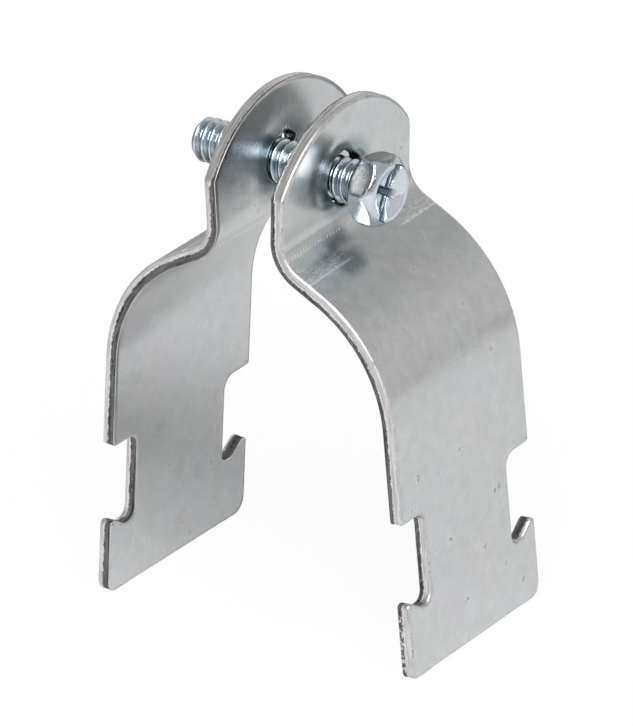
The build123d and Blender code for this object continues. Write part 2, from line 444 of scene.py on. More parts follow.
def inside_loop(points, loop):
    """Whether each point lies inside a closed loop, by counting the sides that a ray crosses."""
    start, end = loop, np.roll(loop, -1, axis=0)
    found = np.zeros(len(points), bool)
    for part in batches(points):
        x, y = points[part, 0][:, None], points[part, 1][:, None]
        spans = (start[:, 1] > y) != (end[:, 1] > y)
        rise = np.where(end[:, 1] == start[:, 1], 1e-12, end[:, 1] - start[:, 1])
        cross = x < start[:, 0] + (y - start[:, 1]) * (end[:, 0] - start[:, 0]) / rise
        found[part] = (spans & cross).sum(axis=1) % 2 == 1
    return found


def clean_piece(mesh, place, body, node, seam=2e-6):
    """Joins the seams of a mesh, turns its faces outwards, puts it in place and lets it ride."""
    mesh.transform(place)
    work = bmesh.new()
    work.from_mesh(mesh)
    bmesh.ops.remove_doubles(work, verts=work.verts, dist=seam)
    bmesh.ops.recalc_face_normals(work, faces=work.faces)
    work.to_mesh(mesh)
    work.free()
    mesh.shade_smooth()
    piece = bpy.data.objects.new(mesh.name, mesh)
    bpy.context.scene.collection.objects.link(piece)
    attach(piece, body)
    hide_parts(node)


def splay(x, lean, yaw, roll=0.0, lift=0.0):
    """Place of a half: at x along the screw, swung by lean, yaw and roll about the screw hole."""
    swing = Matrix.Rotation(math.radians(yaw), 4, "Z") @ Matrix.Rotation(math.radians(lean), 4, "Y")
    swing = Matrix.Rotation(math.radians(roll), 4, "X") @ swing
    return CLAMP_FRAME @ Matrix.Translation((x * MM, 0, lift * MM)) @ swing


def node_maker(tree):
    """A maker of nodes for one tree: a socket takes a value or another node's output."""

    def node(kind, links=(), **settings):
        made = tree.nodes.new(kind)
        for key, value in settings.items():
            setattr(made, key, value)
        for socket, source in dict(links).items():
            if isinstance(source, bpy.types.NodeSocket):
                tree.links.new(source, made.inputs[socket])
            else:
                made.inputs[socket].default_value = source
        return made

    return node


def calc(node, operation, *values):
    """One sum on numbers."""
    return node("ShaderNodeMath", dict(enumerate(values)), operation=operation).outputs[0]


def product(node, first, *others):
    """Numbers multiplied together."""
    for other in others:
        first = calc(node, "MULTIPLY", first, other)
    return first


def add_up(node, total, *parts):
    """A total plus each part times its amount."""
    for part, amount in parts:
        total = calc(node, "MULTIPLY_ADD", part, amount, total)
    return total


def vary(node, pattern, size, base):
    """A base moved up and down by a pattern: base plus size times the pattern less a half."""
    return calc(node, "MULTIPLY_ADD", calc(node, "SUBTRACT", pattern, 0.5), size, base)


def ease_in(node, value, low, high, bottom=0.0, top=1.0):
    """Soft step from bottom to top while the value goes from low to high."""
    links = {"Value": value, "From Min": low, "From Max": high, "To Min": bottom, "To Max": top}
    return node("ShaderNodeMapRange", links, interpolation_type="SMOOTHSTEP").outputs["Result"]


def close_to(node, value, middle, outer, inner):
    """Soft line that is full within inner of a middle value and gone at outer from it."""
    away = calc(node, "ABSOLUTE", calc(node, "SUBTRACT", value, middle))
    return ease_in(node, away, outer, inner)


def tint(node, share, below, above, mode="MIX"):
    """Lays one colour over another by a share."""
    links = {0: share, 6: below, 7: above}
    return node("ShaderNodeMix", links, data_type="RGBA", blend_type=mode).outputs[2]


def coats(node, colour, *layers):
    """Lays colours over a first one in turn. A layer is its share, its strength and its colour."""
    for share, strength, above in layers:
        share = share if strength == 1 else product(node, share, strength)
        colour = tint(node, share, colour, above)
    return colour


def noise(node, vector, scale, detail=2.0, roughness=0.5, distortion=0.0, gives="Fac"):
    """Cloud pattern from 0 to 1, scale in cycles over one unit of the vector."""
    links = {"Vector": vector, "Scale": scale, "Detail": detail, "Roughness": roughness}
    return node("ShaderNodeTexNoise", {**links, "Distortion": distortion}).outputs[gives]


def vector_sum(node, operation, *values, gives="Vector"):
    """One sum on vectors."""
    made = node("ShaderNodeVectorMath", dict(enumerate(values)), operation=operation)
    return made.outputs[gives]


def attribute(node, name):
    """The value that a mesh keeps under a name."""
    return node("ShaderNodeAttribute", attribute_name=name).outputs["Fac"]


def grey(level, warm=0.0):
    """A grey in linear light, warm above 0 and bluish below."""
    return (level * (1 + warm), level, level * (1 - warm), 1)


def effect(name, wants, gives):
    """A shader node group: its tree, its node maker, and what goes in and out. It wants a place,
    and colours or numbers that have a usual value each."""
    tree = bpy.data.node_groups.new(name, "ShaderNodeTree")
    tree.interface.new_socket("Place", in_out="INPUT", socket_type="NodeSocketVector")
    for label, value in wants.items():
        kind = "NodeSocketColor" if isinstance(value, tuple) else "NodeSocketFloat"
        tree.interface.new_socket(label, in_out="INPUT", socket_type=kind).default_value = value
    for label, kind in gives.items():
        tree.interface.new_socket(label, in_out="OUTPUT", socket_type=f"NodeSocket{kind}")
    node = node_maker(tree)
    return tree, node, node("NodeGroupInput").outputs, node("NodeGroupOutput").inputs


def group_node(node, shared, **values):
    """Places a shared effect in a material with that material's own values."""
    made = node("ShaderNodeGroup")
    made.node_tree = shared
    for label, value in values.items():
        socket = made.inputs[label.replace("_", " ")]
        if isinstance(value, bpy.types.NodeSocket):
            made.id_data.links.new(value, socket)
        else:
            socket.default_value = value
    return made.outputs


# Zinc bloom: soft patches of slightly different tint, a finer mottle and a grain in the surface.
GRAIN_STRENGTH = 0.12
bloom, node, wanted, given = effect(
    "zinc_bloom",
    {
        "Metal": grey(0.5),
        "Patch Scale": 90.0,
        "Patch Strength": 0.1,
        "Mottle Scale": 500.0,
        "Mottle Strength": 0.1,
        "Grain Scale": 4000.0,
    },
    {"Colour": "Color", "Cloud": "Float", "Height": "Float"},
)
patches = noise(node, wanted["Place"], wanted["Patch Scale"], 2.0, 0.55, 0.4, "Color")
mottle = noise(node, wanted["Place"], wanted["Mottle Scale"], 3.0, 0.6, 0.3)
grain = noise(node, wanted["Place"], wanted["Grain Scale"], 2.0, 0.6)
toned = tint(node, wanted["Patch Strength"], wanted["Metal"], patches, "SOFT_LIGHT")
fine = vary(node, grain, GRAIN_STRENGTH, vary(node, mottle, wanted["Mottle Strength"], 1.0))
fine_grey = node("ShaderNodeCombineColor", {0: fine, 1: fine, 2: fine}).outputs[0]
bloom.links.new(tint(node, 1.0, toned, fine_grey, "MULTIPLY"), given["Colour"])
bloom.links.new(mottle, given["Cloud"])
bloom.links.new(grain, given["Height"])

# Handling marks: small broken spots strewn at random, each with a paler ring round it. Sizes are
# shares of the cell that a spot lies in.
marks, node, wanted, given = effect(
    "handling_marks",
    {"Scale": 200.0, "Spot Size": 0.2, "Share": 0.5},
    {"Spot": "Float", "Ring": "Float"},
)
uneven = noise(node, wanted["Place"], product(node, wanted["Scale"], 4.0))
cells = node("ShaderNodeTexVoronoi", {"Vector": wanted["Place"], "Scale": wanted["Scale"]}).outputs
draw = node("ShaderNodeSeparateColor", {0: cells["Color"]}).outputs
away = vary(node, uneven, 0.3, cells["Distance"])
size = product(node, wanted["Spot Size"], calc(node, "ADD", draw[1], 0.3))
chosen = calc(node, "LESS_THAN", draw[0], wanted["Share"])
fleck = noise(node, wanted["Place"], product(node, wanted["Scale"], 13.0), 2.0, 0.6)
core = ease_in(node, away, size, product(node, size, 0.5))
spot = product(node, core, ease_in(node, fleck, 0.42, 0.56))
ring = ease_in(node, away, product(node, size, 1.9), size)
marks.links.new(product(node, spot, chosen), given["Spot"])
marks.links.new(product(node, calc(node, "SUBTRACT", ring, spot), chosen), given["Ring"])

# Hairlines: fine scratches, each a thin sliver of a stretched cell pattern.
HAIR_STRETCH = (1.0, 14.0, 1.0)
HAIR_BEND = (0.02, 0.02, 0.02)
hairlines, node, wanted, given = effect(
    "hairlines", {"Turn": 0.0, "Scale": 100.0, "Share": 0.2}, {"Line": "Float"}
)
aim = {"Vector": wanted["Place"], "Angle": wanted["Turn"]}
aimed = node("ShaderNodeVectorRotate", aim, rotation_type="Z_AXIS").outputs[0]
stretched = vector_sum(node, "MULTIPLY", aimed, HAIR_STRETCH)
sway = noise(node, wanted["Place"], 60.0, 1.0, gives="Color")
swayed = vector_sum(node, "MULTIPLY_ADD", sway, HAIR_BEND, stretched)
slivers = node("ShaderNodeTexVoronoi", {"Vector": swayed, "Scale": wanted["Scale"]}).outputs
picked = node("ShaderNodeSeparateColor", {0: slivers["Color"]}).outputs
thin = ease_in(node, slivers["Distance"], 0.3, 0.12)
kept = calc(node, "LESS_THAN", picked[0], wanted["Share"])
hairlines.links.new(product(node, thin, kept), given["Line"])


def paint(name):
    """A new material: the material, its tree, its main shader and a node maker."""
    material = bpy.data.materials.new(name)
    material.use_nodes = True
    tree = material.node_tree
    return material, tree, tree.nodes["Principled BSDF"], node_maker(tree)


def metal(tree, node, shader, colour, dull, relief, bump=0.02):
    """Finish of bare metal: its colour, how dull it is, and a relief of up to bump millimetres."""
    surface = node("ShaderNodeBump", {"Height": relief, "Distance": bump * MM, "Strength": 1.0})
    tree.links.new(colour, shader.inputs["Base Color"])
    tree.links.new(dull, shader.inputs["Roughness"])
    tree.links.new(surface.outputs["Normal"], shader.inputs["Normal"])
    shader.inputs["Metallic"].default_value = 1.0


# Galvanised strap: satin zinc with faint patches, pits and scratches, the marks that the bending
# tools rubbed into it, and a cut edge that is smooth on the outer side and torn on the inner.
ZINC = (0.552, 0.566, 0.57, 1)
strap_zinc, tree, shader, node = paint("galvanised_strap")
place = node("ShaderNodeTexCoord").outputs["Object"]
strip_map = node("ShaderNodeUVMap", uv_map="strip").outputs["UV"]
strip = vector_sum(node, "MULTIPLY", strip_map, (STRIP_UNIT, STRIP_UNIT, STRIP_UNIT))
across, length, _ = node("ShaderNodeSeparateXYZ", {0: strip}).outputs
depth, edge, torn = (attribute(node, name) for name in ("depth", "edge", "torn"))
skin = group_node(node, bloom, Place=place, Metal=ZINC, Patch_Strength=0.1, Mottle_Strength=0.3)
spots = group_node(node, marks, Place=place, Scale=210.0, Spot_Size=0.3, Share=0.45)
specks = group_node(node, marks, Place=place, Scale=420.0, Spot_Size=0.2, Share=0.24)
long_scratch = group_node(node, hairlines, Place=strip, Turn=0.9, Scale=0.16, Share=0.05)
short_scratch = group_node(node, hairlines, Place=strip, Turn=-0.5, Scale=0.45, Share=0.04)
scratches = calc(node, "MAXIMUM", long_scratch["Line"], short_scratch["Line"])
outside = calc(node, "GREATER_THAN", depth, 0.9)

# Bending marks: a row of slanting ticks at the foot of the ear, the broken line of the forming die
# below it, and the band that the die rubbed above its line. The middle of line and band is clear.
TICK_LENGTH = 6.4
TICK_PITCH = 0.72
TICK_SLANT = 0.6
DIE_LENGTH = 11.3
MARKS_MIDDLE = 1.0
RUB_STRETCH = (0.45, 1.5, 1.0)
RUB_STRENGTH = 0.45
tick_slope = calc(node, "MULTIPLY_ADD", length, TICK_SLANT, across)
tick_wave = calc(node, "SINE", product(node, tick_slope, math.tau / TICK_PITCH))
patchy = noise(node, strip, 0.8)
ticks = product(
    node,
    close_to(node, length, TICK_LENGTH, 0.42, 0.2),
    ease_in(node, tick_wave, 0.2, 0.8),
    ease_in(node, patchy, 0.36, 0.5),
)
beside = close_to(node, across, MARKS_MIDDLE, 5.0, 7.5)
line_break = noise(node, strip, 1.7, 3.0, 0.7)
die_line = product(
    node,
    close_to(node, length, DIE_LENGTH, 0.34, 0.06),
    beside,
    ease_in(node, line_break, 0.36, 0.62, 0.2, 1.0),
)
rub_noise = noise(node, vector_sum(node, "MULTIPLY", strip, RUB_STRETCH), 1.6, 4.0, 0.65)
rub = product(
    node,
    ease_in(node, length, 7.6, 10.6),
    ease_in(node, length, 11.4, 11.1),
    beside,
    ease_in(node, rub_noise, 0.4, 0.62),
    RUB_STRENGTH,
)
pressed = calc(node, "MAXIMUM", calc(node, "MAXIMUM", ticks, die_line), rub)
pressed = product(node, outside, pressed)

# Dents: the pits that show on the head side half's leg and foot, each a broken ball set in the
# surface with a pale ring. Each row is its place across, its length and its size in millimetres.
DENTS = [
    (-11.2, 42.3, 0.45),
    (-4.8, 54.0, 0.55),
    (-0.7, 42.4, 0.45),
    (7.8, 51.1, 0.5),
    (6.9, 51.5, 0.4),
    (-1.8, 63.9, 0.5),
    (11.9, 66.6, 0.4),
    (3.6, 58.2, 0.4),
    (13.2, 0.3, 0.4),
]
DENT_UNEVEN = 2.6
dent_noise = noise(node, place, 1300.0, 2.0, 0.6)
halo, pit = 0.0, 0.0
for dent_across, dent_length, dent_size in DENTS:
    dent_place = bent_strap(np.array([dent_length]), np.array([dent_across]), np.array([SHEET]))[0]
    centre = splay(EAR_GAP / 2, NEAR_LEAN, NEAR_YAW) @ Vector(dent_place * MM)
    away = vector_sum(node, "DISTANCE", place, centre, gives="Value")
    away = vary(node, dent_noise, DENT_UNEVEN * MM, away)
    size = dent_size * MM
    pit = calc(node, "MAXIMUM", pit, ease_in(node, away, size, size * 0.5))
    halo = calc(node, "MAXIMUM", halo, ease_in(node, away, size * 2.2, size))
halo = calc(node, "SUBTRACT", halo, pit)
dent_fleck = noise(node, place, 3600.0, 2.0, 0.6)
pit = product(node, pit, ease_in(node, dent_fleck, 0.4, 0.58, 0.15, 1.0))

# Painted shade and reflection: the ear darker and teal round the screw hole, where it mirrors the
# screw's dark underside and thread, and gone at the foot of the ear.
HOLE_SHADE_COLOUR = (0.17, 0.24, 0.26, 1)
HOLE_SHADE_RADIUS = 7.2
HOLE_SHADE_FULL = 4.6
HOLE_SHADE_STRENGTH = 0.65
flat_place = node("ShaderNodeCombineXYZ", {0: across, 1: length}).outputs[0]
from_hole = vector_sum(node, "LENGTH", flat_place, gives="Value")
hole_shade = ease_in(node, from_hole, HOLE_SHADE_RADIUS, HOLE_SHADE_FULL, 0.0, HOLE_SHADE_STRENGTH)
hole_shade = product(node, hole_shade, ease_in(node, length, 5.6, 3.6))

# Cut edge: a smooth band striped along its length, and a torn dark band with pale specks and a
# bright broken lip between the two. The screw holes' torn walls are painted near black as shadow.
# The rolled edge is worn, and dirt lies along the faces' rims.
STRIPE_SCALE = (0.1, 0.1, 3.2)
RIM_TONE = (1.0, 0.975, 0.97)
rim = ease_in(node, edge, 0.13, 0.08)
layers = node("ShaderNodeCombineXYZ", {0: across, 1: length, 2: depth}).outputs[0]
stripes = noise(node, vector_sum(node, "MULTIPLY", layers, STRIPE_SCALE), 2.2, 3.0, 0.6)
stripe_level = ease_in(node, stripes, 0.3, 0.7, 0.44, 0.72)
stripe_tones = {part: product(node, stripe_level, tone) for part, tone in enumerate(RIM_TONE)}
stripe_colour = node("ShaderNodeCombineColor", stripe_tones).outputs[0]
ragged = noise(node, place, 1800.0, 3.0, 0.7)
torn_line = vary(node, ragged, 0.35, torn)
inside_tear = ease_in(node, calc(node, "SUBTRACT", torn_line, depth), 0.0, 0.06)
crack = product(node, inside_tear, ease_in(node, depth, 0.02, 0.06), rim)
band = product(node, rim, calc(node, "SUBTRACT", 1.0, crack))
speckle = ease_in(node, noise(node, place, 4200.0), 0.6, 0.72, 0.0, 0.7)
on_foot = ease_in(node, length, leg_length(NOTCH_FLOOR), leg_length(NOTCH_FLOOR - 0.8))
foot_flecks = product(
    node,
    on_foot,
    ease_in(node, noise(node, place, 2100.0), 0.5, 0.56),
    ease_in(node, torn, 0.5, 0.46),
)
crack_ground = tint(node, ease_in(node, stripes, 0.32, 0.6), grey(0.04), grey(0.17, 0.02))
crack_colour = coats(
    node,
    crack_ground,
    # Painted shadow: torn shares above 0.86, on the screw holes' walls, turn near black.
    (ease_in(node, torn, 0.86, 0.92), 1, grey(0.012)),
    (speckle, 1, grey(0.42)),
    (foot_flecks, 1, grey(0.6)),
)
blotch = noise(node, strip, 0.35, 3.0, 0.6)
lip_line = product(
    node,
    close_to(node, calc(node, "SUBTRACT", depth, torn_line), 0.05, 0.05, 0.02),
    rim,
    ease_in(node, blotch, 0.4, 0.55, 0.2, 0.8),
)
edge_dirt = product(
    node,
    ease_in(node, edge, 0.38, 0.2),
    ease_in(node, ragged, 0.52, 0.6),
    ease_in(node, patchy, 0.45, 0.6),
    calc(node, "SUBTRACT", 1.0, rim),
)
rolled_edge = product(node, ease_in(node, edge, 0.6, 0.3), ease_in(node, depth, 0.75, 0.82))
wear = noise(node, place, 2400.0, 3.0, 0.65)
worn = product(node, rolled_edge, ease_in(node, wear, 0.48, 0.6))

colour = coats(
    node,
    skin["Colour"],
    (spots["Spot"], 0.3, grey(0.36, 0.01)),
    (specks["Spot"], 0.5, grey(0.26)),
    (specks["Ring"], 0.3, grey(0.7)),
    (scratches, 0.35, grey(0.8)),
    (pressed, 1, grey(0.9, -0.01)),
    # Painted shade and reflection round the screw hole.
    (hole_shade, 1, HOLE_SHADE_COLOUR),
    (pit, 0.6, grey(0.16)),
    (halo, 0.15, grey(0.8)),
    (band, 1, stripe_colour),
    (crack, 1, crack_colour),
    (lip_line, 1, grey(0.85)),
    (edge_dirt, 0.6, grey(0.18)),
    (worn, 0.2, grey(0.22)),
)
satin = vary(node, skin["Cloud"], 0.12, 0.25)
dull = add_up(node, satin, (pressed, 0.1), (rolled_edge, 0.2), (crack, 0.25))
relief = add_up(
    node,
    product(node, skin["Height"], 0.25),
    (calc(node, "MAXIMUM", spots["Spot"], specks["Spot"]), -0.3),
    (pit, -1.0),
    (pressed, 0.6),
    (product(node, rim, stripes), 0.3),
    (product(node, crack, ragged), 3.0),
)
metal(tree, node, shader, colour, dull, relief)

near_edge = (NEAR_FRONT_ROUND, NEAR_TORN, NEAR_HOLE_TORN_AND_SHADE, NEAR_SEED)
near_mesh = strap_mesh("head_side_strap", 1, (HOLE_EDGE, RELIEF_EDGE), *near_edge)
near_mesh.materials.append(strap_zinc)
near_place = splay(EAR_GAP / 2, NEAR_LEAN, NEAR_YAW)
clean_piece(near_mesh, near_place, "head_side", "head_side_half")

# Tip side half.
# The same strip bent the other way, with its ear pressed to the same side, so that its lip faces
# away from the other half and takes the screw's thread. It is pressed less deep, and its relief
# notch narrows outwards.
FAR_LEAN = 2.9
FAR_YAW = 1.1
FAR_ROLL = 0.3
FAR_LIFT = 0.12
FAR_FRONT_ROUND = 1.7
FAR_TORN = 0.55
# A hole's share above 0.86 also paints the hole's wall near black as painted shadow.
FAR_HOLE_TORN_AND_SHADE = 1.1
FAR_SEED = 31
TAPPED_RADIUS = 3.25
TAPPED_RELIEF = 4.35
TAPPED_DISH = 0.7
TAPPED_LIP = 0.25
TAPPED_NARROWS = 0.75

far_edge = (FAR_FRONT_ROUND, FAR_TORN, FAR_HOLE_TORN_AND_SHADE, FAR_SEED)
tapped = (TAPPED_DISH, TAPPED_LIP, TAPPED_NARROWS)
far_mesh = strap_mesh("tip_side_strap", -1, (TAPPED_RADIUS, TAPPED_RELIEF), *far_edge, *tapped)
far_mesh.materials.append(strap_zinc)
far_place = splay(-EAR_GAP / 2, -FAR_LEAN, FAR_YAW, FAR_ROLL, FAR_LIFT)
clean_piece(far_mesh, far_place, "tip_side", "tip_side_half")

# Screw.
# A zinc-plated machine screw with a rolled thread up to its head. The head is cold-formed:
# six flats between domed chamfers, an indented top and a slot crossed by a short cross recess.
HEAD_STAND_OFF = 3.2
SCREW_SEAT = EAR_GAP / 2 + SHEET + HEAD_STAND_OFF
SCREW_LENGTH = 27.1

# Thread: its flats and flanks are shares of a pitch, and it runs out to a plain neck at the head.
CREST_RADIUS = 3.12
ROOT_RADIUS = 2.42
ROOT_SHARE = 0.12
FLANK_SHARE = 0.3
CREST_ROUND = 0.9
THREAD_ROWS = [0.0, 0.12, 0.2, 0.32, 0.42, 0.47, 0.5, 0.53, 0.58, 0.68, 0.8, 0.88]
THREAD_COLUMNS = 96
THREAD_SHIFT = 0.25
RUN_OUT = 0.9
NECK_RADIUS = 2.87
INTO_HEAD = 0.2
TIP_CHAMFER = 0.7


def thread_grid():
    """Shank whose rows climb by one pitch a turn: within each pitch the radius goes from root to
    rounded crest and back. A cone trims it at the tip, and it eases to the neck's radius under the
    head. The second result is the share of the thread's height."""
    turns = int(SCREW_LENGTH / THREAD_PITCH) + 3
    steps = (np.arange(turns)[:, None] + THREAD_ROWS).ravel() - 1.5
    angle = np.linspace(0, 2 * math.pi, THREAD_COLUMNS, endpoint=False)
    share = np.tile(THREAD_ROWS, turns)[:, None] + 0 * angle
    rise = np.clip((0.5 - np.abs(share - 0.5) - ROOT_SHARE) / FLANK_SHARE, 0, 1)
    over = (rise - CREST_ROUND) / (1 - CREST_ROUND)
    crest = CREST_ROUND + (1 - CREST_ROUND) * np.sin(over * math.pi / 2)
    rise = np.where(over > 0, crest, rise)
    x = THREAD_SHIFT - SCREW_LENGTH + THREAD_PITCH * (steps[:, None] + angle / (2 * math.pi))
    x = np.clip(x, -SCREW_LENGTH, INTO_HEAD)
    radius = ROOT_RADIUS + (CREST_RADIUS - ROOT_RADIUS) * rise
    radius = np.minimum(radius, CREST_RADIUS - TIP_CHAMFER + (x + SCREW_LENGTH))
    radius = radius + (NECK_RADIUS - radius) * np.clip((RUN_OUT + x) / RUN_OUT, 0, 1)
    return np.stack([x, radius * np.cos(angle), radius * np.sin(angle)], -1), rise


# Head: six flats, of which each shows its forged oval by its own share.
HEAD_FLATS = 9.3
HEAD_HEIGHT = 4.1
HEAD_TURN = 52.5
FLAT_ANGLES = np.radians(HEAD_TURN + 30 + 60 * np.arange(6))
HEAD_FRONT_RADIUS = 4.0
HEAD_FRONT_SLOPE = 1.1
HEAD_BACK_RADIUS = 4.5
HEAD_SOFTNESS = 0.13
HEAD_SHARPNESS = 21.0
HEAD_COLUMNS = 360
UNDER_HEAD = np.array([2.6, 3.6, 4.4])
FORGED_FLATS = np.array([0.7, 0.9, 0.1, 0.4, 0.5, 0.5])
FLAT_SWING = 27.5
FLAT_MIDDLE = 1.9
FLAT_HALF_HEIGHT = 1.95
FLAT_EDGE = 0.12
LINE_PLACE = 0.06
LINE_WIDTH = 0.2
LINE_STRENGTH = 1.2


def head_radius(angle, x):
    """Reach of the head's side at an angle and height: six flats, softly joined, held in by the
    domed chamfers at its back and front."""
    lean = np.cos(angle[..., None] - FLAT_ANGLES)
    hexagon = HEAD_FLATS / 2 * HEAD_SHARPNESS / np.log(np.exp(HEAD_SHARPNESS * lean).sum(-1))
    front = HEAD_FRONT_RADIUS + HEAD_FRONT_SLOPE * (HEAD_HEIGHT - x)
    back = HEAD_BACK_RADIUS + x
    reach = np.stack([hexagon, front, back])
    least = reach.min(0)
    return least - HEAD_SOFTNESS * np.log(np.exp(-(reach - least) / HEAD_SOFTNESS).sum(0))


def head_side():
    """Rings of the head from its underside to the rim of its top, and at each point the share of
    forged flat and of the dark line round it. A flat is an oval in angle and height."""
    angle = np.linspace(0, 2 * math.pi, HEAD_COLUMNS, endpoint=False)
    spans = ((0, 0.7, 12), (0.8, 3.1, 12), (3.2, HEAD_HEIGHT, 16))
    levels = np.concatenate([np.linspace(*span) for span in spans])
    around, level = np.meshgrid(angle, levels)
    reach = head_radius(around, level)
    swing = np.degrees(np.arccos(np.clip(np.cos(around[..., None] - FLAT_ANGLES), -1, 1)))
    height = (level[..., None] - FLAT_MIDDLE) / FLAT_HALF_HEIGHT
    oval = 1 - np.hypot(swing / FLAT_SWING, height)
    forged = np.clip(oval / FLAT_EDGE + 0.5, 0, 1)
    outline = np.clip(LINE_STRENGTH - np.abs(oval - LINE_PLACE) / LINE_WIDTH, 0, 1)
    forged, outline = ((share * FORGED_FLATS).sum(-1) for share in (forged, outline))
    side = np.stack([level, reach * np.cos(around), reach * np.sin(around)], -1)
    circle = np.stack([0 * angle, np.cos(angle), np.sin(angle)], -1)
    under = UNDER_HEAD[:, None, None] * circle
    blank = np.zeros(under.shape[:2])
    return (
        np.concatenate([under, side]),
        np.concatenate([blank, forged]),
        np.concatenate([blank, outline]),
    )


# Recess: a bowl, a slot and a short cross.
BOWL_RADIUS = 3.5
BOWL_DEPTH = 0.9
BOWL_LOBES = 0.12
SLOT_WIDTH = 1.7
SLOT_DEPTH = 1.5
SLOT_SLOPE = 0.3
SLOT_TURN = 60.0
CROSS_SPAN = 5.6
CROSS_WIDTH = 1.5
CROSS_TIP = 0.6
CROSS_DEPTH = 2.4
TOP_STEP = 0.1


def recess_depth(along, across):
    """Depth of the head's top below its rim: a round bowl, the slot through it with sloping walls,
    and two crossing arms that narrow towards their floor."""
    radius = np.hypot(along, across)
    lobes = 1 + BOWL_LOBES * np.cos(4 * np.arctan2(across, along)) * np.clip(radius, 0, 1)
    bowl = BOWL_DEPTH * lobes * np.clip(1 - (radius / BOWL_RADIUS) ** 3, 0, 1)
    in_slot = (SLOT_WIDTH / 2 + SLOT_SLOPE / 2 - np.abs(across)) / SLOT_SLOPE
    depth = np.maximum(bowl, SLOT_DEPTH * np.clip(in_slot, 0, 1))
    for u, v in ((along, across), (across, along)):
        wall = (CROSS_WIDTH - 2 * np.abs(v)) / (CROSS_WIDTH - CROSS_TIP)
        end = (CROSS_SPAN / 2 - np.abs(u)) / (CROSS_SPAN / 2 - 1.5 * CROSS_TIP)
        depth = np.maximum(depth, CROSS_DEPTH * np.clip(np.minimum(wall, end), 0, 1))
    return depth


def head_top(rim):
    """Top of the head inside its rim: points on lines along and across the slot, sunk by the depth
    of the recess. The results are the points, their triangles and the depths."""
    turn = math.radians(SLOT_TURN)
    along = rim[:, 1] * math.cos(turn) + rim[:, 2] * math.sin(turn)
    across = -rim[:, 1] * math.sin(turn) + rim[:, 2] * math.cos(turn)
    lines = np.arange(-4.2, 4.21, TOP_STEP)
    walls = np.array([SLOT_WIDTH / 2, SLOT_WIDTH / 2 + 0.03])
    cuts = np.unique(np.round(np.concatenate([lines, walls, -walls]), 4))
    dots = np.stack(np.meshgrid(lines, cuts), -1).reshape(-1, 2)
    dots = dots[np.hypot(dots[:, 0], dots[:, 1]) < HEAD_FRONT_RADIUS - 0.08]
    skin, faces = fill_flat([np.stack([along, across], -1)], dots)
    depth = recess_depth(skin[:, 0], skin[:, 1])
    y = skin[:, 0] * math.cos(turn) - skin[:, 1] * math.sin(turn)
    z = skin[:, 0] * math.sin(turn) + skin[:, 1] * math.cos(turn)
    return np.stack([HEAD_HEIGHT - depth, y, z], -1), faces, depth


# Painted shade in the thread's roots, strongest as painted shadow beside the tapped ear, and
# painted shade under the head.
ROOT_SHADE_LEAST = 0.52
EAR_SHADOW_WIDTH = 0.6
EAR_SHADOW_PLACE = -(HEAD_STAND_OFF + SHEET + EAR_GAP + EAR_SHADOW_WIDTH)
UNDER_HEAD_SHADE = 0.9


def screw_mesh(name):
    """Thread, tip disc, head side and head top as one skin. Painted shade is how dark a point is
    painted as shade: the thread's roots, most of it beside the tapped ear, the underside of the
    head, the recess."""
    shank, rise = thread_grid()
    side, forged, flat_rim = head_side()
    top, top_faces, depth = head_top(side[-1])
    tip = rise.size
    side_start = tip + 1
    ring = np.arange(THREAD_COLUMNS)
    corners = [
        grid_faces(*rise.shape),
        np.stack([np.full(THREAD_COLUMNS, tip), np.roll(ring, -1), ring], -1),
        grid_faces(*forged.shape, side_start),
        top_faces + side_start + forged.size,
    ]
    points = [shank.reshape(-1, 3), [[-SCREW_LENGTH, 0.0, 0.0]], side.reshape(-1, 3), top]
    thread_shade = np.exp(-(((shank[..., 0] - EAR_SHADOW_PLACE) / EAR_SHADOW_WIDTH) ** 2))
    thread_shade = ROOT_SHADE_LEAST + (1 - ROOT_SHADE_LEAST) * thread_shade
    under = np.where(np.arange(len(side)) <= len(UNDER_HEAD), UNDER_HEAD_SHADE, 0.0)
    under = np.repeat(under, HEAD_COLUMNS)
    painted_shade = [((1 - rise) * thread_shade).ravel(), [0.0], under, depth / CROSS_DEPTH]
    mesh = bpy.data.meshes.new(name)
    faces = [f.tolist() for group in corners for f in group]
    mesh.from_pydata(np.concatenate(points) * MM, [], faces)
    store(mesh, "painted_shade", np.concatenate(painted_shade))
    for label, share in (("forged", forged), ("flat_rim", flat_rim)):
        share = [np.zeros(side_start), share.ravel(), np.zeros(len(top))]
        store(mesh, label, np.concatenate(share))
    return mesh


# Zinc plate: bright and slightly blue, cloudy where the head was formed, and painted dark as shade
# in the hollows.
PLATE = (0.6, 0.66, 0.7, 1)
SPOT = (0.25, 0.29, 0.33, 1)
NICK = (0.95, 0.97, 1.0, 1)
# Colour of the painted shade in the thread, under the head and in the recess.
PAINTED_SHADE_COLOUR = (0.07, 0.11, 0.14, 1)
FLAT_LINE = (0.12, 0.15, 0.17, 1)
CLOUDY = {
    "Patch_Scale": 420.0,
    "Patch_Strength": 0.4,
    "Mottle_Scale": 1400.0,
    "Mottle_Strength": 0.3,
    "Grain_Scale": 6000.0,
}
screw_zinc, tree, shader, node = paint("plated_screw")
place = node("ShaderNodeTexCoord").outputs["Object"]
painted_shade, forged, flat_rim = (attribute(node, name) for name in ("painted_shade", "forged", "flat_rim"))
skin = group_node(node, bloom, Place=place, Metal=PLATE, **CLOUDY)
spots = group_node(node, marks, Place=place, Scale=1500.0, Spot_Size=0.3, Share=0.25)
nicks = group_node(node, hairlines, Place=place, Turn=0.6, Scale=260.0, Share=0.06)
scale_pattern = noise(node, place, 1700.0, 4.0, 0.65)
forged = product(node, forged, ease_in(node, scale_pattern, 0.25, 0.6, 0.75, 1.0))
forged_colour = tint(node, ease_in(node, scale_pattern, 0.34, 0.5), grey(0.1), grey(0.2, 0.01))
rim_pattern = noise(node, place, 3300.0, 3.0, 0.6)
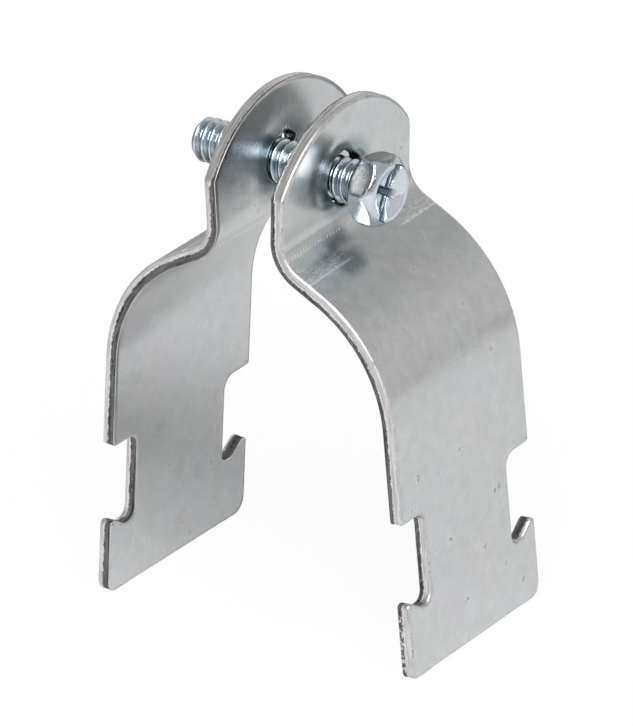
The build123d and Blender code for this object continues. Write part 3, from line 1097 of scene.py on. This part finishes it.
flat_rim = product(node, flat_rim, ease_in(node, rim_pattern, 0.44, 0.52))
colour = coats(
    node,
    skin["Colour"],
    (spots["Spot"], 0.3, SPOT),
    (nicks["Line"], 0.4, NICK),
    # Painted shade in the thread's roots, beside the tapped ear, under the head and in the recess.
    (ease_in(node, painted_shade, 0.28, 0.62), 0.95, PAINTED_SHADE_COLOUR),
    (forged, 1, forged_colour),
    (flat_rim, 0.8, FLAT_LINE),
)
dull = add_up(node, vary(node, skin["Cloud"], 0.2, 0.15), (forged, 0.03))
relief = add_up(
    node,
    product(node, skin["Height"], 0.3),
    (skin["Cloud"], 1.5),
    (spots["Spot"], -0.5),
    (product(node, forged, scale_pattern), 0.4),
)
metal(tree, node, shader, colour, dull, relief)

screw_skin = screw_mesh("machine_screw")
screw_skin.materials.append(screw_zinc)
screw_place = CLAMP_FRAME @ Matrix.Translation((SCREW_SEAT * MM, 0, 0))
clean_piece(screw_skin, screw_place, "fastener", "screw")

# Floor and light.
# A plain white floor that keeps the clamp's soft shadow and ends a little behind it, a sky that
# metal mirrors as a bright band above eye level, and soft lamps in front, overhead and to the side.
VIEW_BEARING = -53.808
FLOOR_BEHIND = 0.13
FLOOR_SIDE = 3.0
FLOOR_WHITE = grey(0.75)
FLOOR_ROUGHNESS = 0.9
WHITE_TO_CAMERA = 0.93
WHITE_TO_METAL = 0.04
WHITE = (1, 1, 1, 1)
floor_mesh = bpy.data.meshes.new("floor")
sides = [(-FLOOR_BEHIND, -1), (FLOOR_SIDE, -1), (FLOOR_SIDE, 1), (-FLOOR_BEHIND, 1)]
floor_corners = [(ahead, side * FLOOR_SIDE, 0) for ahead, side in sides]
floor_mesh.from_pydata(floor_corners, [], [(0, 1, 2, 3)])
floor_mesh.transform(Matrix.Rotation(math.radians(VIEW_BEARING), 4, "Z"))
floor = bpy.data.objects.new("floor", floor_mesh)
bpy.context.scene.collection.objects.link(floor)
floor_paint, tree, shader, node = paint("floor_white")
shader.inputs["Base Color"].default_value = FLOOR_WHITE
shader.inputs["Roughness"].default_value = FLOOR_ROUGHNESS
seen = node("ShaderNodeLightPath").outputs
reflected = calc(node, "MAXIMUM", seen["Is Glossy Ray"], seen["Is Transmission Ray"])
share = product(node, seen["Is Camera Ray"], WHITE_TO_CAMERA)
share = calc(node, "MULTIPLY_ADD", reflected, WHITE_TO_METAL, share)
white = node("ShaderNodeEmission", {"Color": WHITE, "Strength": 1.0})
mixed = node("ShaderNodeMixShader", {0: share, 1: shader.outputs[0], 2: white.outputs[0]})
tree.links.new(mixed.outputs[0], tree.nodes["Material Output"].inputs["Surface"])
floor_mesh.materials.append(floor_paint)

# Sky: each stop is its height from 0 below to 1 overhead, its grey and its warmth.
SKY = [(0.44, 0.35, 0.0), (0.5, 0.76, 0.02), (0.68, 0.76, 0.02), (0.8, 0.54, 0.0)]
FLOOR_SKY = 0.45
world = bpy.data.worlds.new("studio")
bpy.context.scene.world = world
world.use_nodes = True
node = node_maker(world.node_tree)
sky = world.node_tree.nodes["Background"]
direction = node("ShaderNodeTexCoord").outputs["Generated"]
upward = node("ShaderNodeSeparateXYZ", {0: direction}).outputs[2]
sky_height = node("ShaderNodeValToRGB", {0: calc(node, "MULTIPLY_ADD", upward, 0.5, 0.5)})
stops = sky_height.color_ramp.elements
for place_in_ramp, (stop_height, brightness, warm) in enumerate(SKY):
    stop = stops[place_in_ramp] if place_in_ramp < 2 else stops.new(stop_height)
    stop.position = stop_height
    stop.color = grey(brightness, warm)
seen = node("ShaderNodeLightPath").outputs
ambient = tint(node, seen["Is Camera Ray"], grey(FLOOR_SKY), WHITE)
sky_colour = tint(node, seen["Is Glossy Ray"], ambient, sky_height.outputs[0])
world.node_tree.links.new(sky_colour, sky.inputs["Color"])
sky.inputs["Strength"].default_value = 1.0


def soft_lamp(name, bearing, rise, width, radiance, distance=2.0):
    """A square lamp aimed at the clamp: its watts are its radiance times pi and its area."""
    bearing, rise = math.radians(bearing), math.radians(rise)
    level = math.cos(rise)
    away = Vector((level * math.cos(bearing), level * math.sin(bearing), math.sin(rise)))
    lamp = bpy.data.lights.new(name, "AREA")
    lamp.size = width
    lamp.energy = radiance * math.pi * width**2
    lamp_object = bpy.data.objects.new(name, lamp)
    aimed = away.to_track_quat("Z", "Y").to_matrix().to_4x4()
    lamp_object.matrix_world = CLAMP_FRAME @ Matrix.Translation(away * distance) @ aimed
    bpy.context.scene.collection.objects.link(lamp_object)


soft_lamp("front_lamp", -55, 42, 0.85, 10.0)
soft_lamp("top_softbox", -55, 66, 1.0, 6.2)
soft_lamp("side_lamp", -18, 45, 0.5, 5.0)

# Camera.
# A long lens at the photograph's angle: the view's bearing, height and roll are given in the
# clamp's own frame, and the aim is the point of the clamp that lies in the picture's middle.
IMAGE_HEIGHT = 726
VIEW_RISE = 25.236
VIEW_ROLL = -0.442
VIEW_DISTANCE = 2285.1
PIXELS_PER_MM = 7.445
VIEW_TARGET = (1.806, 0.0, -35.0)
SIDE_PIXELS = 5.86
DOWN_PIXELS = 46.452
SENSOR = 36.0
SIGHT = 20.0

bearing, rise, roll = (math.radians(v) for v in (VIEW_BEARING, VIEW_RISE, VIEW_ROLL))
level = math.cos(rise)
back = Vector((level * math.cos(bearing), level * math.sin(bearing), math.sin(rise)))
level_right = Vector((-math.sin(bearing), math.cos(bearing), 0))
level_up = back.cross(level_right)
right = math.cos(roll) * level_right + math.sin(roll) * level_up
up = math.cos(roll) * level_up - math.sin(roll) * level_right
eye = Vector(VIEW_TARGET) + back * VIEW_DISTANCE
eye = eye - right * (SIDE_PIXELS / PIXELS_PER_MM) + up * (DOWN_PIXELS / PIXELS_PER_MM)
stance = Matrix((right, up, back)).transposed().to_4x4()
stance.translation = eye * MM
lens = bpy.data.cameras.new("camera")
lens.sensor_width = SENSOR
lens.lens = PIXELS_PER_MM * VIEW_DISTANCE * SENSOR / IMAGE_HEIGHT
lens.clip_end = SIGHT
camera = bpy.data.objects.new("camera", lens)
camera.matrix_world = CLAMP_FRAME @ stance
bpy.context.scene.collection.objects.link(camera)
bpy.context.scene.camera = camera
bpy.context.scene.view_settings.view_transform = "Standard"
